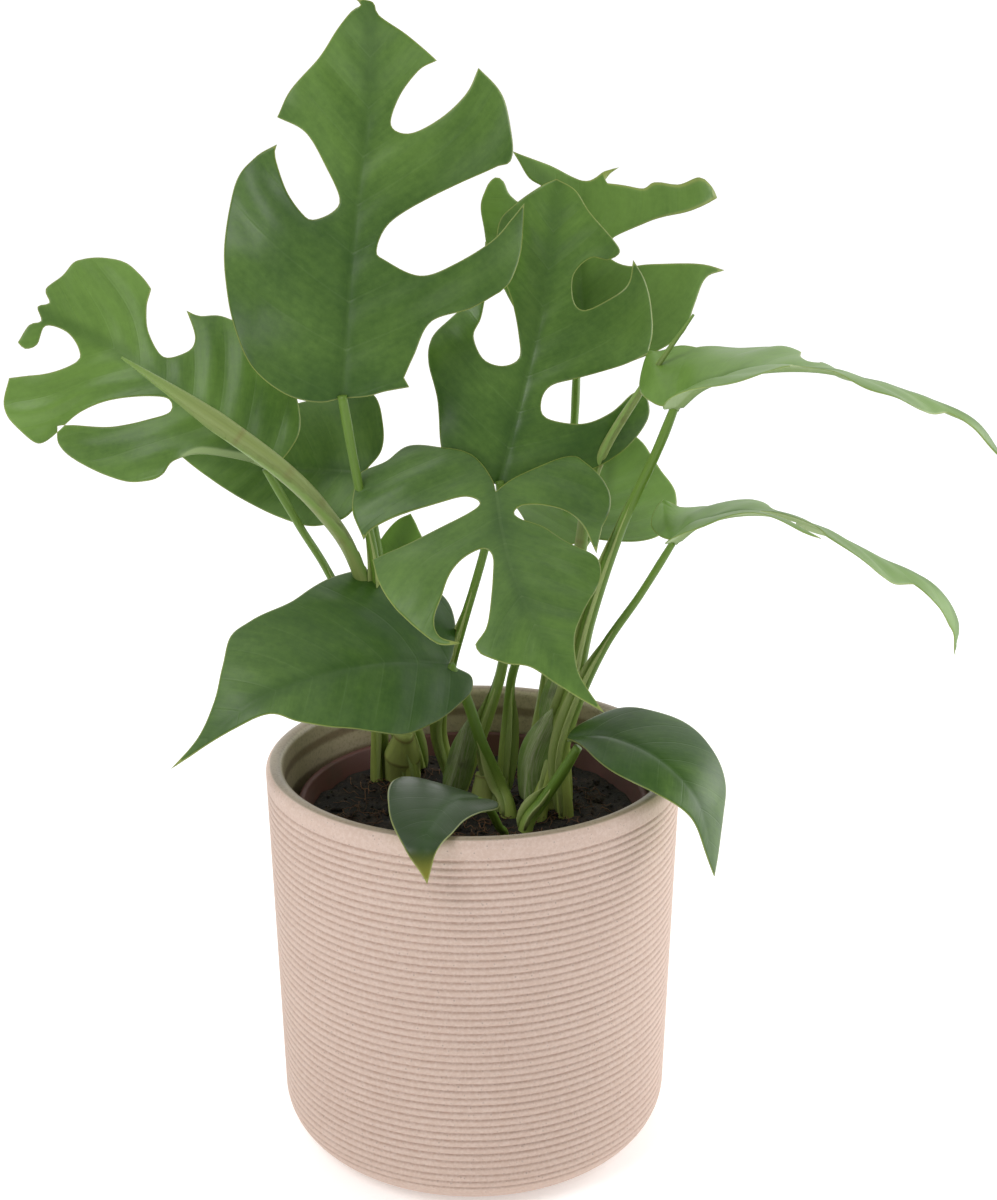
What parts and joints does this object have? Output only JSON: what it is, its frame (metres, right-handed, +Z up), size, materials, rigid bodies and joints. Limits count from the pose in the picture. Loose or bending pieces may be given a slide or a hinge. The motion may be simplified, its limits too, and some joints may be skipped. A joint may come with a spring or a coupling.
{
  "type": "potted monstera plant",
  "caption": "Young monstera with split and whole leaves on upright stalks, growing in a plastic nursery pot that stands inside a finely ribbed round stoneware pot.",
  "frame": {"origin": "centre of the pot's flat foot, on the surface it stands on", "axes": "+Z up along the pot's axis; +X to the right and -Y towards a viewer who faces the side with the most leaves"},
  "size_m": [0.3316, 0.1708, 0.3898],
  "materials": {
    "stoneware": "matte",
    "nursery_plastic": "matte",
    "soil": "rough",
    "leaf": "satin",
    "stalk": "satin",
    "new_leaf": "satin",
    "dried_sheath": "matte"
  },
  "bodies": {
    "root": {"shoot_left": "stalk", "shoot_centre": "stalk", "shoot_right": "stalk", "petiole_top": "stalk", "petiole_left": "stalk", "petiole_left_entire": "stalk", "petiole_pale": "stalk", "petiole_front": "stalk", "petiole_low_left": "stalk", "petiole_centre": "stalk", "petiole_rim_front": "stalk", "petiole_back": "stalk", "petiole_behind_right": "stalk", "petiole_right_high": "stalk", "petiole_right_low": "stalk", "petiole_rim_right": "stalk", "spear_left": "new_leaf", "spear_right": "new_leaf", "blade_top": "leaf", "blade_left": "leaf", "blade_left_entire": "leaf", "blade_centre": "leaf", "blade_front": "leaf", "blade_low_left": "leaf", "blade_rim_right": "leaf", "blade_rim_front": "leaf", "blade_right_high": "leaf", "blade_right_low": "leaf", "blade_back": "leaf", "blade_behind_right": "leaf", "blade_pale": "leaf", "sheath_right_low": "dried_sheath", "sheath_right_high": "dried_sheath", "sheath_centre": "dried_sheath", "soil": "soil", "nursery_pot": "nursery_plastic", "ceramic_pot": "stoneware"}
  },
  "joints": []
}
